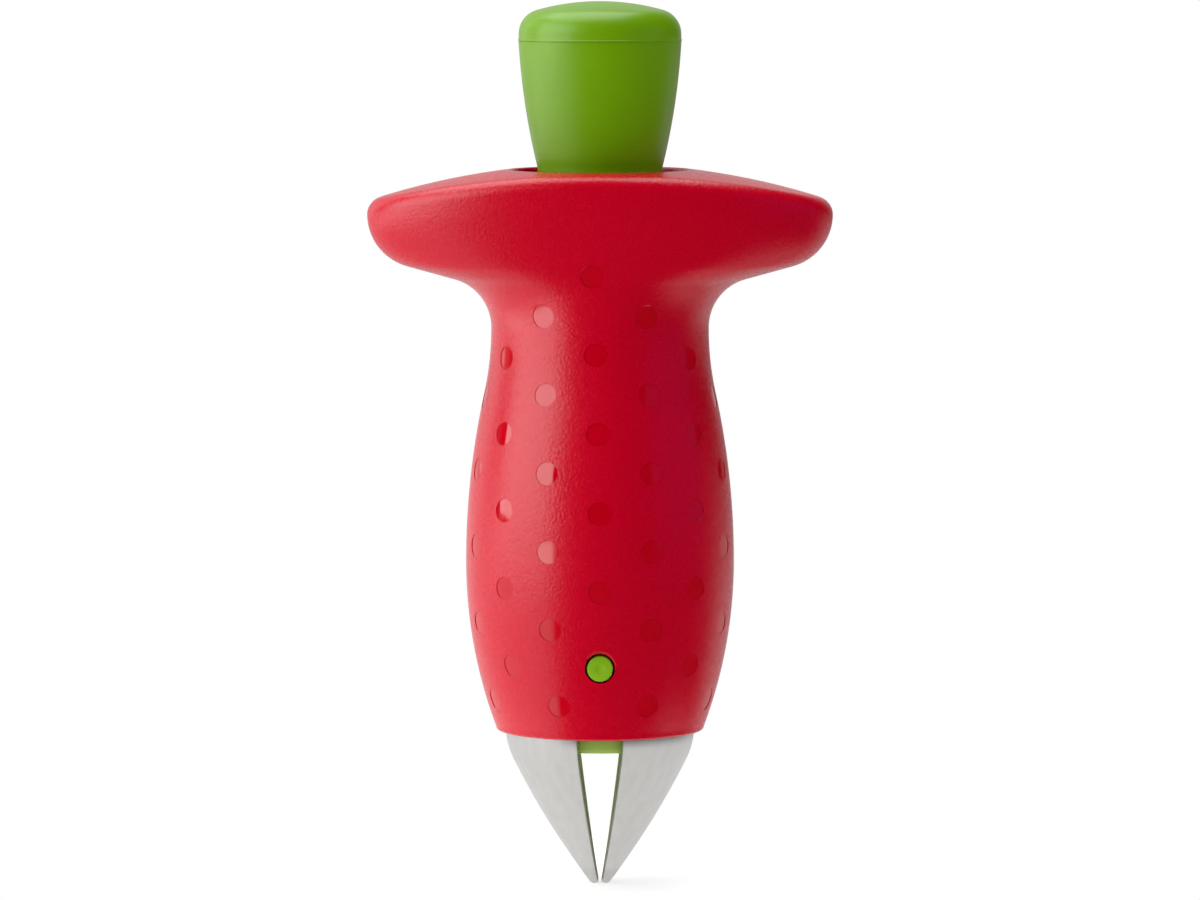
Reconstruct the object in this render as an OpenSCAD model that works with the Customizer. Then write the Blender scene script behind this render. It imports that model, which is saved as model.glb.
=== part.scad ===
// Strawberry huller: a barrel grip with finger wings, a push button and a four-blade claw.
// Pressing the button drives a cam head down, four levers turn on their pins and the claw opens.
// Frame: +Z up along the axis, origin on the axis at the level of the closed claw tips, front = -Y.

/* [Claw] */
// Height of the grip's rim above the claw tips
rim_z = 19.5; // [17:0.5:24]
// Outer radius of the closed claw at the rim
claw_r = 12.55; // [11.9:0.05:13.2]
// Radius at which the closed blade tips stand round the axis
tip_r = 1.25; // [1:0.05:2]
// Sheet thickness of a blade
blade_t = 0.6; // [0.4:0.05:0.8]
// Depth below the rim at which a blade's flank starts to curve into its shoulder
shoulder_h = 3; // [2.5:0.1:3.5]
// How far inside the claw's radius the shoulder starts
shoulder_in = 1.05; // [0.9:0.05:1.2]
// How far a blade reaches up behind the grip's lower edge
blade_hide = 0.25; // [0.1:0.05:0.3]
// Bow radius of a blade's flank
blade_bow = 110; // [60:5:300]
// Angle of the gap between neighbouring blades
blade_gap = 28; // [20:1:40]
// Corner radius of a blade's tip
tip_round = 0.8; // [0.5:0.05:1]

/* [Grip] */
// Height of the grip's lower edge above the rim's level
edge_lift = 0.6; // [0.2:0.1:0.6]
// Width of the lower edge round its bore
lip = 0.5; // [0.5:0.05:0.8]
// Rounding radius of the lower edge's outer side
lip_round = 0.45; // [0.2:0.05:0.45]
// Widest diameter of the grip
belly_d = 34.7; // [32:0.1:40]
// Height of the widest place above the rim
belly_h = 22.5; // [18:0.5:26]
// Diameter of the neck under the wings
neck_d = 28.1; // [27:0.1:30]
// Height of the neck above the rim
neck_h = 52.8; // [50:0.5:60]
// Hollow radius of the grip's curve into the neck
neck_bow = 40; // [20:1:60]

/* [Wings] */
// Span of the two finger wings
wing_span = 60.1; // [54:0.1:70]
// Depth of the wings, front to back
wing_depth = 30.1; // [28.4:0.1:32]
// Share of the front's spread that is left for the band under the top edge
lean_share = 0.15; // [0.05:0.05:0.3]
// Fillet radius under a wing
wing_fillet = 6.5; // [4:0.1:8]
// Rounding radius below a wing's end
wing_end = 6.9; // [5:0.1:7.5]
// Rounding radius of the edge round the top face
top_edge = 2.2; // [1.5:0.1:2.8]
// Crown radius of the top face
crown_r = 96; // [70:1:140]
// Height of the top hole's edge above the rim
top_h = 73.25; // [71:0.25:80]

/* [Button] */
// Diameter of the button at its parting line
button_d = 21; // [18:0.1:21.6]
// Height of the button above the top hole's edge
button_h = 21.6; // [18:0.2:26]
// Height of the button's cap above its parting line
cap_h = 5.1; // [4.5:0.1:6.5]
// Depth of the fine groove at the parting line
line_depth = 0.08; // [0.04:0.01:0.15]
// Bow radius of the button's flank
flank_bow = 90; // [70:1:150]
// Crown radius of the button's top
button_crown = 30; // [22:1:60]
// Rounding radius between the button's crown and its side
button_edge = 3.2; // [2:0.1:3.6]
// Gap between the button's widest place and the top hole
hole_gap = 0.9; // [0.5:0.05:1.2]
// Thickness of the guide flange at the button's foot
flange_h = 3; // [2:0.25:5]
// Depth of the guide flange's upper face below the top hole's edge
flange_drop = 5.2; // [4:0.2:7]
// Wall of the button round the spring
button_wall = 1.1; // [0.8:0.1:1.3]
// Fillet radius above the guide flange
flange_fillet = 1.5; // [0.5:0.1:2]

/* [Mechanism] */
// Travel of the button
travel = 8; // [6:0.25:9]
// Angle that each blade swings open
open_angle = 21; // [16:0.5:23]
// Distance of the pivots inside the blades' outer radius
pivot_inset = 2.95; // [2.8:0.05:3.2]
// Height of the pivots above the rim
pivot_rise = 0.1; // [-0.2:0.05:0.3]
// Diameter of a pivot pin
pivot_d = 1.8; // [1.4:0.1:2]
// Length of a pivot pin
pivot_len = 5.6; // [4.6:0.1:6]
// Thickness of a lever
lever_t = 2.4; // [1.8:0.1:2.4]
// Diameter of a follower pin
follower_d = 1.6; // [1.2:0.1:1.8]
// Length of a follower pin
follower_len = 4.2; // [3.6:0.1:4.4]
// Radius at which the followers stand with the claw open
follower_in = 3.2; // [3.1:0.05:3.6]
// Wall of a lever round its pins
hub_wall = 0.75; // [0.6:0.05:0.8]
// Height at which a lever's foot ends inside its blade
foot_z = 11.5; // [10:0.25:13]
// Thickness of the carrier's floor above the pivots
floor_over = 2.5; // [2.3:0.1:3.5]
// Depth of the carrier's boss below the pivots
boss_drop = 1.45; // [1.2:0.05:1.8]
// Thickness of the cam head's upper plate
head_plate = 2.4; // [1.5:0.1:4]
// Wall left under the cam slots
cam_wall = 0.9; // [0.7:0.05:1.5]
// Thickness of the guide cap
cap_plate = 2.9; // [2:0.1:4]
// Height of the spring collar on the guide cap
collar_h = 2; // [1:0.1:4]
// Diameter of the plunger rod
rod_d = 8; // [6:0.1:8.4]
// Depth of the rod's socket and the spring's pocket in the button
socket_h = 20; // [14:0.5:23]
// Diameter of a retaining pin
retainer_d = 3.3; // [3:0.1:4]
// Height of the retaining pins above the rim
retainer_h = 10.2; // [8:0.1:13]

/* [Spring] */
// Diameter of the spring's wire
wire_d = 0.9; // [0.6:0.05:1.1]
// Diameter of the spring's coil, at the middle of the wire
coil_d = 12.4; // [12:0.1:12.6]
// Number of curls
curls = 13; // [8:1:18]

/* [Dots] */
// Diameter of a dot
dot_d = 3.1; // [2:0.1:4]
// Depth of a dot at its middle
dot_depth = 0.25; // [0.15:0.01:0.4]
// Height of the lowest row of dots above the rim
dot_start = 5.1; // [4:0.1:7]
// Height between rows
dot_pitch = 5; // [4.5:0.1:5.2]
// Number of rows
dot_rows = 12; // [6:1:12]
// Angle between neighbouring columns at the widest place
dot_angle = 22.5; // [18:0.5:23]
// Angle between neighbouring columns at the neck
dot_angle_neck = 28; // [22:0.5:28]
// How far the columns have turned to the left by the neck
dot_turn = 2.6; // [0:0.1:4]
// How far the columns have turned to the right by the rim
dot_twist = 3; // [0:0.1:4]
// How far the upper rows sag round the sides, per turn away from the front
dot_sag = 1.8; // [0:0.1:2]

/* [Clearances] */
// Blade to the grip's bore
blade_clear = 0.45; // [0.4:0.05:0.7]
// Carrier and guide cap to the grip's bore
seat_gap = 0.1; // [0.05:0.01:0.25]
// Blade to the carrier's boss
boss_clear = 0.9; // [0.8:0.05:1.2]
// Moving pieces past fixed ones
slide_gap = 0.3; // [0.25:0.05:0.5]
// Lever to the sides of its slots
slot_gap = 0.2; // [0.15:0.05:0.3]
// Follower pin to the walls of its cam slot
cam_gap = 0.15; // [0.1:0.01:0.25]
// Turning and sliding fits, on the radius
run_fit = 0.06; // [0.03:0.01:0.1]
// Pressed and bonded fits, on the radius
press_gap = 0.02; // [0.01:0.01:0.04]
// Ring gap round a retaining pin in the grip
ring_gap = 0.25; // [0.15:0.05:0.4]

/* [Hidden] */
$fn = 64;
// Overlap that carries a cut past the face it opens
cut = 1;

// Bores of the grip
bore_r = claw_r + blade_clear;
hole_r = button_d/2 + hole_gap;
carrier_r = bore_r - seat_gap;

// Lever geometry in the plane of one claw: u outwards from the axis, z up
claw_angles = [-45, 45, 135, 225];
pivot = [claw_r - pivot_inset, rim_z + pivot_rise];
pivot_r = pivot_d/2;
follower_r = follower_d/2;
cam_half = follower_r + cam_gap;
pivot_hub = pivot_r + hub_wall;
follower_hub = follower_r + hub_wall;
slot_w = lever_t + 2*slot_gap;
floor_z = pivot[1] + floor_over;
boss_z = pivot[1] - boss_drop;
boss_r = claw_r - blade_t - boss_clear;
head_z = floor_z + slide_gap + travel;
tail_h = head_z + cam_wall + cam_half - pivot[1];
tail_lean = (pivot[0] - follower_in - tail_h*sin(open_angle))/cos(open_angle);
tail = [-tail_lean, tail_h];
function turned(v, a) = [v[0]*cos(a) - v[1]*sin(a), v[0]*sin(a) + v[1]*cos(a)];
follower = pivot + tail;
follower_open = pivot + turned(tail, open_angle);

// Stack above the levers
head_slot_z = follower_open[1] + travel + follower_hub + slot_gap;
head_top = head_slot_z + head_plate;
cavity_r = follower[0] + follower_hub + 2*slide_gap;
head_r = cavity_r - slide_gap;
cap_z = head_top + slide_gap;
shoulder_z = cap_z + cap_plate;
rod_r = rod_d/2;
grip_base = rim_z + edge_lift;
blade_top = grip_base + blade_hide;

// Handle heights and radii
belly = [belly_d/2, rim_z + belly_h];
neck = [neck_d/2, rim_z + neck_h];
hole_z = rim_z + top_h;
retainer_z = rim_z + retainer_h;
retainer_r = retainer_d/2;
wing_a = wing_span/2;
wing_b = wing_depth/2;

// Button heights
button_top = hole_z + button_h;
line_z = button_top - cap_h;
flange_top = hole_z - flange_drop;
flange_z = flange_top - flange_h;
flange_r = hole_r - slide_gap;
socket_z = flange_z + socket_h;
socket_r = rod_r + press_gap;
// A curl is drawn with straight chords, so its hub clears the middle of a chord
curl_rings = 8;
spring_hub = coil_d/2*cos(180/curl_rings) - wire_d/2 - slide_gap;
pocket_r = coil_d/2 + wire_d/2 + slide_gap;

red = [0.72, 0.02, 0.10];
green = [0.45, 0.62, 0.13];
steel = [0.78, 0.78, 0.76];
dark_steel = [0.45, 0.46, 0.48];

// Arc from a to b of radius r with n steps, bulging to the right of the way from a to b,
// or to the left where r is negative.
function arc_centre(a, b, r) =
    let (d = b - a, l = norm(d))
    (a + b)/2 + sign(r)*sqrt(r*r - l*l/4)*[-d[1], d[0]]/l;
function arc(a, b, r, n) =
    let (c = arc_centre(a, b, r),
         t0 = atan2(a[1] - c[1], a[0] - c[0]),
         t1 = atan2(b[1] - c[1], b[0] - c[0]),
         sweep = (t1 - t0 + 540) % 360 - 180)
    [for (i = [0:n]) c + abs(r)*[cos(t0 + sweep*i/n), sin(t0 + sweep*i/n)]];
function tail_of(list) = [for (i = [1:len(list) - 1]) list[i]];
function backwards(list) = [for (i = [len(list) - 1:-1:0]) list[i]];

// Places a child drawn in one claw's plane, x outwards and y up, with its thickness across.
module claw_plane(angle, thickness) {
    rotate([0, 0, angle])
        rotate([90, 0, 0])
            linear_extrude(thickness, center = true) children();
}
module claw_cross(angle, at, r, length) {
    rotate([0, 0, angle])
        translate([at[0], 0, at[1]])
            rotate([90, 0, 0])
                cylinder(r = r, h = length, center = true, $fn = 32);
}

// Grip: lip, lower arc to the belly, then a bowed and a hollow arc that meet upright at the neck
lip_end = [bore_r + lip, grip_base + lip_round];
grip_drop = belly[0] - lip_end[0];
grip_rise = belly[1] - lip_end[1];
grip_bow = (grip_drop*grip_drop + grip_rise*grip_rise)/(2*grip_drop);
neck_drop = belly[0] - neck[0];
neck_rise = neck[1] - belly[1];
bow_sum = (neck_drop*neck_drop + neck_rise*neck_rise)/(2*neck_drop);
upper_bow = bow_sum - neck_bow;
bow_centre = [belly[0] - upper_bow, belly[1]];
bow_meet = bow_centre + upper_bow/bow_sum*([neck[0] + neck_bow, neck[1]] - bow_centre);
grip_curve = concat(
    arc(lip_end - [lip_round, lip_round], lip_end, lip_round, 4),
    tail_of(arc(lip_end, belly, grip_bow, 10)),
    tail_of(arc(belly, bow_meet, upper_bow, 9)),
    tail_of(arc(bow_meet, neck, -neck_bow, 4))
);
// Radius of the grip at a height, on its three main arcs
function grip_r(z) =
    z < belly[1] ? belly[0] - grip_bow + sqrt(grip_bow*grip_bow - pow(belly[1] - z, 2))
    : z < bow_meet[1] ? bow_centre[0] + sqrt(upper_bow*upper_bow - pow(z - belly[1], 2))
    : neck[0] + neck_bow - sqrt(neck_bow*neck_bow - pow(neck[1] - z, 2));

// Crown of the top face and the rounding that joins it to the wing's side
crown_centre = hole_z - sqrt(crown_r*crown_r - hole_r*hole_r);
function crown_z(rho) = crown_centre + sqrt(crown_r*crown_r - rho*rho);
function edge_rho(phi) = norm([(wing_a - top_edge)*cos(phi), (wing_b - top_edge)*sin(phi)]);
function edge_z(phi) = crown_centre + sqrt(pow(crown_r - top_edge, 2) - pow(edge_rho(phi), 2));
function edge_end(phi) = 90 - asin(edge_rho(phi)/(crown_r - top_edge));

// The wings stand a hair proud of the neck, so that the two shapes cross in one clean line
join_proud = 0.03;
loft_r = neck[0] + join_proud;

// Outline of a wing seen from the front: fillet at the neck, straight underside, rounded end.
// On a thin wing the two roundings share what height there is.
end_land = 0.1;
end_z = edge_z(0) - end_land;
most_round = 0.98*(end_z - neck[1]);
round_share = min(1, most_round/(wing_fillet + wing_end));
fillet_r = round_share*wing_fillet;
end_r = round_share*wing_end;
end_centre = [wing_a - end_r, end_z];
fillet_centre = [neck[0] + fillet_r, neck[1]];
between = end_centre - fillet_centre;
under_slope = acos((fillet_r + end_r)/norm(between)) - atan2(between[0], between[1]);
bend = 90 - under_slope;
wing_curve = concat(
    [for (i = [1:6]) fillet_centre + turned([-fillet_r, 0], -bend*i/6)],
    [for (i = [7:-1:0]) end_centre + turned([end_r, 0], -bend*i/7)]
);
function wing_half_depth(z) =
    let (f = min(1, (z - neck[1])/(end_centre[1] - neck[1])))
    loft_r + (1 - lean_share)*(wing_b - loft_r)*f*f;

// Rings of the wing loft, from inside the neck up to the crown inside the hole
sides = 64;
function oval(a, b, z) = [for (i = [0:sides - 1]) let (t = 360*i/sides) [a*cos(t), b*sin(t), z]];
function edge_ring(f) =
    [for (i = [0:sides - 1])
        let (t = 360*i/sides, turn = f*edge_end(t), inset = top_edge*(1 - cos(turn)))
        [(wing_a - inset)*cos(t), (wing_b - inset)*sin(t), edge_z(t) + top_edge*sin(turn)]];
function crown_ring(f) =
    let (rim = edge_ring(1), inner = hole_r - cut)
    [for (p = rim)
        let (flat = [p[0], p[1]], q = (1 - f)*flat + f*inner*flat/norm(flat))
        [q[0], q[1], crown_z(norm(q))]];
wing_rings = concat(
    [oval(neck[0] - cut/2, neck[0] - cut/2, neck[1] - cut), oval(loft_r, loft_r, neck[1])],
    [for (p = wing_curve) oval(p[0], wing_half_depth(p[1]), p[1])],
    [for (i = [0:4]) edge_ring(i/4)],
    [for (i = [1:3]) crown_ring(i/3)]
);
// Closed loft through rings of equal count, the lowest first, each running anticlockwise from above
module loft(rings) {
    n = len(rings[0]);
    last = len(rings) - 1;
    points = [for (ring = rings) each ring];
    walls = [for (k = [0:last - 1], i = [0:n - 1])
        let (j = (i + 1) % n, p = k*n, q = p + n)
        each [[p + i, q + i, q + j], [p + i, q + j, p + j]]];
    floor_face = [for (i = [1:n - 2]) [0, i, i + 1]];
    roof_face = [for (i = [1:n - 2]) [last*n, last*n + i + 1, last*n + i]];
    polyhedron(points, concat(floor_face, walls, roof_face), convexity = 6);
}

// Radius of the handle's front at a height
function skin_r(z) = z < neck[1] ? grip_r(z) : wing_half_depth(z);

// How far the handle's front faces up or down at a height
function skin_tilt(z) =
    z < belly[1] ? -asin((belly[1] - z)/grip_bow)
    : z < bow_meet[1] ? asin((z - belly[1])/upper_bow)
    : z < neck[1] ? asin((neck[1] - z)/neck_bow) : 0;

// One dot: a flat-bottomed round pocket, square to the skin at a height and an angle from the front
pocket_out = 4;
module dot(z, angle) {
    rotate([0, 0, angle - 90])
        translate([skin_r(z), 0, z])
            rotate([0, 90 - skin_tilt(z), 0])
                translate([0, 0, -dot_depth])
                    cylinder(d = dot_d, h = pocket_out, $fn = 32);
}
function dot_z(row) = rim_z + dot_start + dot_pitch*row;
// The columns spread as the grip gets thinner towards the neck, so that they keep their distance
function spread_share(z) = z < belly[1] ? 0 : (belly[0] - skin_r(z))/neck_drop;
function column_angle(z) = dot_angle + (dot_angle_neck - dot_angle)*spread_share(z);
function column_turn(z) =
    z > belly[1] ? -dot_turn*pow((z - belly[1])/neck_rise, 2)
    : dot_twist*pow((belly[1] - z)/(belly[1] - rim_z), 2);
function dot_drop(z, angle) = dot_sag*spread_share(z)*(1 - cos(angle));
// Columns of a row: odd columns on even rows, even ones between, and fewer up at the wings
function columns(row) =
    row % 2 == 0 ? (dot_z(row) < neck[1] ? [-3, -1, 1, 3] : [-1, 1])
    : abs(dot_z(row) - retainer_z) < dot_d + retainer_d/2 ? [-2, 2]
    : dot_z(row) < neck[1] ? [-2, 0, 2] : [0];
module dots() {
    for (half = [0, 180], row = [0:dot_rows - 1], k = columns(row)) {
        z = dot_z(row);
        angle = k*column_angle(z);
        rotate([0, 0, half]) dot(z - dot_drop(z, angle), angle + column_turn(z));
    }
}

module handle_shell() color(red) {
    difference() {
        union() {
            rotate_extrude() polygon(concat([[0, grip_base]], grip_curve, [[0, neck[1]]]));
            loft(wing_rings);
        }
        translate([0, 0, rim_z - cut]) cylinder(r = bore_r, h = shoulder_z - rim_z + cut);
        cylinder(r = hole_r, h = hole_z + 2*cut);
        translate([0, 0, retainer_z])
            rotate([90, 0, 0])
                cylinder(r = retainer_r + ring_gap, h = 2*belly_d, center = true, $fn = 32);
        dots();
    }
}

// Carrier: boss under the rim, tube round the cam head, slots and bearings for four levers
boss_round = 0.6;
slot_in = pivot[0] - floor_over*tan(open_angle + atan2(tail_lean, tail_h)) - pivot_hub - 2*slot_gap;
bearing_over = 0.1;
// The tube starts above the highest place that the blades' upper edge swings to
tube_z = pivot[1] + turned([pivot_inset, blade_top - pivot[1]], open_angle)[1] + slide_gap;
module claw_carrier() color(green) {
    difference() {
        rotate_extrude()
            polygon(concat(
                [[0, boss_z]],
                arc([boss_r - boss_round, boss_z], [boss_r, boss_z + boss_round], boss_round, 4),
                [[boss_r, tube_z], [carrier_r, tube_z], [carrier_r, cap_z], [0, cap_z]]));
        translate([0, 0, floor_z]) cylinder(r = cavity_r, h = cap_z);
        for (a = claw_angles) {
            rotate([0, 0, a])
                translate([slot_in, -slot_w/2, boss_z - cut])
                    cube([carrier_r, slot_w, follower[1] - boss_z + cut]);
            claw_cross(a, pivot, pivot_r + press_gap, pivot_len + 2*bearing_over);
        }
        translate([0, 0, retainer_z])
            rotate([90, 0, 0])
                cylinder(r = retainer_r + press_gap, h = 4*carrier_r, center = true, $fn = 32);
    }
}

module guide_cap() color(green) {
    difference() {
        union() {
            translate([0, 0, cap_z]) cylinder(r = carrier_r, h = cap_plate);
            translate([0, 0, cap_z]) cylinder(r = spring_hub, h = cap_plate + collar_h);
        }
        translate([0, 0, cap_z - cut]) cylinder(r = rod_r + run_fit, h = cap_plate + collar_h + 2*cut);
    }
}

// Retaining pin: through the grip into the carrier's wall, its face following the grip's round
module retaining_pin(turn) color(green) {
    face_r = grip_r(retainer_z);
    rotate([0, 0, turn])
        intersection() {
            translate([cavity_r + slide_gap, 0, retainer_z])
                rotate([0, 90, 0])
                    cylinder(r = retainer_r, h = face_r - cavity_r, $fn = 32);
            cylinder(r = face_r, h = hole_z);
        }
}

module pivot_pin(k) color(dark_steel) {
    claw_cross(claw_angles[k - 1], pivot, pivot_r, pivot_len);
}

// Button: crowned cap, parting line, bowed flank, waist and guide flange
flank_u = button_d/2 - sqrt(flank_bow*flank_bow - cap_h*cap_h);
waist_r = pocket_r + button_wall;
waist_z = button_top - sqrt(flank_bow*flank_bow - pow(waist_r - flank_u, 2));
button_side = button_d/2 - button_edge;
crown_turn = asin(button_side/(button_crown - button_edge));
edge_base = button_top - button_crown + (button_crown - button_edge)*cos(crown_turn);
edge_tip = [button_crown*sin(crown_turn), button_top - button_crown*(1 - cos(crown_turn))];
button_curve = concat(
    [[flange_r, flange_z], [flange_r, flange_top]],
    arc([waist_r + flange_fillet, flange_top], [waist_r, flange_top + flange_fillet], -flange_fillet, 4),
    arc([waist_r, waist_z], [button_d/2, line_z - line_depth], flank_bow, 10),
    [[button_d/2 - line_depth, line_z], [button_d/2, line_z + line_depth]],
    arc([button_d/2, edge_base], edge_tip, button_edge, 6),
    tail_of(arc(edge_tip, [0, button_top], button_crown, 6))
);
module button() color(green) {
    difference() {
        rotate_extrude() polygon(concat([[0, flange_z]], button_curve));
        translate([0, 0, flange_z - cut])
            difference() {
                cylinder(r = pocket_r, h = socket_h + cut);
                cylinder(r = spring_hub, h = socket_h + 2*cut);
            }
        translate([0, 0, flange_z - cut]) cylinder(r = socket_r, h = socket_h + cut);
    }
}

// Cam slot in the plane of one claw: the way that the follower takes through the head as it sinks
function cam_at(f) = pivot + turned(tail, open_angle*f) + [0, travel*f];
function cam_way(f) =
    let (t = turned(tail, open_angle*f), w = open_angle*PI/180*[-t[1], t[0]] + [0, travel])
    w/norm(w);
function cam_left(f) = cam_half*turned(cam_way(f), 90);
cam_steps = 10;
cam_outline = concat(
    [for (i = [0:cam_steps]) cam_at(i/cam_steps) + cam_left(i/cam_steps)],
    [for (t = [30:30:150]) cam_at(1) + turned(cam_left(1), -t)],
    [for (i = [cam_steps:-1:0]) cam_at(i/cam_steps) - cam_left(i/cam_steps)],
    [for (t = [30:30:150]) cam_at(0) - turned(cam_left(0), -t)]
);
cam_reach = follower_len + 2*slot_gap;
module plunger_rod() color("whitesmoke") {
    difference() {
        union() {
            translate([0, 0, head_z]) cylinder(r = head_r, h = head_top - head_z);
            translate([0, 0, head_z]) cylinder(r = rod_r, h = socket_z - head_z);
        }
        for (a = claw_angles) {
            rotate([0, 0, a])
                translate([0, -slot_w/2, head_z - cut])
                    cube([2*head_r, slot_w, head_slot_z - head_z + cut]);
            claw_plane(a, cam_reach) polygon(cam_outline);
        }
    }
}

// Spring: one tube, with a closed curl at each end and even curls between
spring_z = [shoulder_z + wire_d/2 + press_gap, socket_z - wire_d/2 - press_gap];
end_gap = 0.5;
end_pitch = wire_d + end_gap;
even_pitch = (spring_z[1] - spring_z[0] - 2*end_pitch)/(curls - 2);
function coil_z(t) =
    spring_z[0] + end_pitch*min(t, 1) + even_pitch*max(0, min(t - 1, curls - 2))
    + end_pitch*max(0, t - curls + 1);
function coil_at(t) = [coil_d/2*cos(360*t), coil_d/2*sin(360*t), coil_z(t)];
wire_sides = 6;
coil_points = [for (i = [0:curls*curl_rings]) coil_at(i/curl_rings)];
coil_rings = [for (i = [0:curls*curl_rings])
    let (t = i/curl_rings,
         out = [cos(360*t), sin(360*t), 0],
         way = [-sin(360*t), cos(360*t), 0],
         up = cross(out, way))
    [for (s = [0:wire_sides - 1])
        coil_points[i] + wire_d/2*(cos(360*s/wire_sides)*out + sin(360*s/wire_sides)*up)]];
least_gap = min([for (i = [0:len(coil_points) - 1], j = [i + curl_rings/2:1:len(coil_points) - 1])
    norm(coil_points[i] - coil_points[j])]) - wire_d;
echo(least_gap_of_spring = least_gap);
module return_spring() color(steel) { loft(coil_rings); }

// Blade: a bowed flank that curves into its shoulder, sprung round the axis, with a rounded tip.
// The shoulder's radius is the one that carries the flank on without a kink.
shoulder = [claw_r - shoulder_in, rim_z - shoulder_h];
flank_centre = arc_centre([tip_r, 0], shoulder, blade_bow);
flank_out = (shoulder - flank_centre)/blade_bow;
shoulder_way = [claw_r, blade_top] - shoulder;
shoulder_bow = -(shoulder_way*shoulder_way)/(2*shoulder_way*flank_out);
shoulder_centre = shoulder - shoulder_bow*flank_out;
flank_line = arc([tip_r, 0], shoulder, blade_bow, 10);
shoulder_line = tail_of(arc(shoulder, [claw_r, blade_top], shoulder_bow, 6));
blade_outer = concat(flank_line, shoulder_line);
function inward(p, centre, d) = p + d*(centre - p)/norm(centre - p);
function blade_inner(d) = concat(
    [for (p = flank_line) inward(p, flank_centre, d)],
    [for (p = shoulder_line) inward(p, shoulder_centre, d)]);
blade_span = 90 - blade_gap;
module claw_blade(k) color(steel) {
    intersection() {
        rotate([0, 0, claw_angles[k - 1] - blade_span/2])
            rotate_extrude(angle = blade_span)
                polygon(concat(blade_outer, backwards(blade_inner(blade_t))));
        rotate([0, 0, claw_angles[k - 1] + 90])
            rotate([90, 0, 0])
                translate([0, 0, -claw_r])
                    linear_extrude(2*claw_r) tip_outline();
    }
}
// Tip seen along the claw's own plane: a round end that opens into the full width
module tip_outline() {
    translate([0, tip_round]) circle(r = tip_round, $fn = 32);
    translate([-claw_r, tip_round]) square([2*claw_r, blade_top + cut]);
}

// Lever: hub on the pivot, tail up to the follower, foot down along the inside of its blade
foot_back = 0.8;
foot_turn = 37;
hub_share = 0.8;
tail_way = tail/norm(tail);
tail_side = turned(tail_way, 90);
module lever_outline() {
    foot_r = lookup(foot_z, [for (p = blade_inner(blade_t)) [p[1], p[0]]]);
    difference() {
        union() {
            translate(pivot) circle(r = pivot_hub, $fn = 32);
            translate(follower) circle(r = follower_hub, $fn = 32);
            polygon([
                pivot - hub_share*pivot_hub*tail_side, follower - hub_share*follower_hub*tail_side,
                follower + hub_share*follower_hub*tail_side, pivot + hub_share*pivot_hub*tail_side]);
            polygon([
                pivot + turned([-hub_share*pivot_hub, 0], foot_turn), [foot_r - foot_back, foot_z],
                [foot_r + cut, foot_z], [claw_r + cut, shoulder[1]],
                [claw_r + cut, blade_top], [pivot[0], blade_top]]);
        }
        translate(pivot) circle(r = pivot_r + run_fit, $fn = 32);
        translate(follower) circle(r = follower_r + press_gap, $fn = 32);
    }
}
module claw_lever(k) color(dark_steel) {
    difference() {
        claw_plane(claw_angles[k - 1], lever_t) lever_outline();
        rotate([0, 0, claw_angles[k - 1] - blade_span/4])
            rotate_extrude(angle = blade_span/2)
                polygon(concat(
                    blade_inner(blade_t + press_gap),
                    [[claw_r - blade_t - press_gap, floor_z], [2*claw_r, floor_z], [2*claw_r, 0]]));
    }
}

module follower_pin(k) color(dark_steel) {
    claw_cross(claw_angles[k - 1], follower, follower_r, follower_len);
}

handle_shell();
claw_carrier();
guide_cap();
retaining_pin(-90);  // retaining_pin_front
retaining_pin(90);  // retaining_pin_rear
button();
plunger_rod();
return_spring();
for (k = [1:4]) {
    pivot_pin(k);
    claw_blade(k);
    claw_lever(k);
    follower_pin(k);
}
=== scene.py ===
# %% [markdown]
# # A strawberry huller
# The tool has a red moulded handle with two finger wings, a green push button on top and a claw of
# four steel blades below. Pressing the button opens the claw, and a coil spring closes it again.
# The CAD model gives the size and place of each piece and how it moves. Here every piece but the
# levers, their pins and the rod is modelled again with its roundings, dots and edges, every piece gets
# its finish, and each new piece rides on the CAD body it belongs to.

# %% Load the CAD frame
import math
import bmesh
import bpy
from mathutils import Matrix, Vector


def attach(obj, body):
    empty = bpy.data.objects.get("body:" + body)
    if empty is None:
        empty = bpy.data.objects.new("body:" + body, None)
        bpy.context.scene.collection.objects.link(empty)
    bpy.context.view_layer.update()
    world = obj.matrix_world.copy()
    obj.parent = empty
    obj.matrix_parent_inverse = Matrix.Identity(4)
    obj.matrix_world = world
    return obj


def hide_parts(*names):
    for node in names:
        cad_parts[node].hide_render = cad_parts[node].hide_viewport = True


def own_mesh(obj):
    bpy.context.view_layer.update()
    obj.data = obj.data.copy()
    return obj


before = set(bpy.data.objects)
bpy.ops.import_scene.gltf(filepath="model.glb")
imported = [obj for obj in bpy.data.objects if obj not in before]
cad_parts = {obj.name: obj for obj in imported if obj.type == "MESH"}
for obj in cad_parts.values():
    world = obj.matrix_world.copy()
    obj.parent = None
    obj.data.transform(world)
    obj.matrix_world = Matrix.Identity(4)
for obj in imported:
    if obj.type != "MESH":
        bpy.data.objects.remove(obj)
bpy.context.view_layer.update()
MM = 0.001

# %% [markdown]
# ## Working by hand, in code
# An operator acts on whatever is selected, so each step first clears the selection, then picks one
# piece or some of its edges by their place. These few helpers do that, and apply a modifier at once,
# as one would by pressing Apply. All lengths in the cells below are in millimetres.

# %% Selection and modifier helpers
def clear_selection():
    if bpy.context.object and bpy.context.object.mode != "OBJECT":
        bpy.ops.object.mode_set(mode="OBJECT")
    bpy.ops.object.select_all(action="DESELECT")


def activate(piece):
    clear_selection()
    piece.select_set(True)
    bpy.context.view_layer.objects.active = piece


def name_new(name):
    """Names the piece that an operator has just made."""
    piece = bpy.context.object
    piece.name = name
    piece.data.name = name
    return piece


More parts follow.
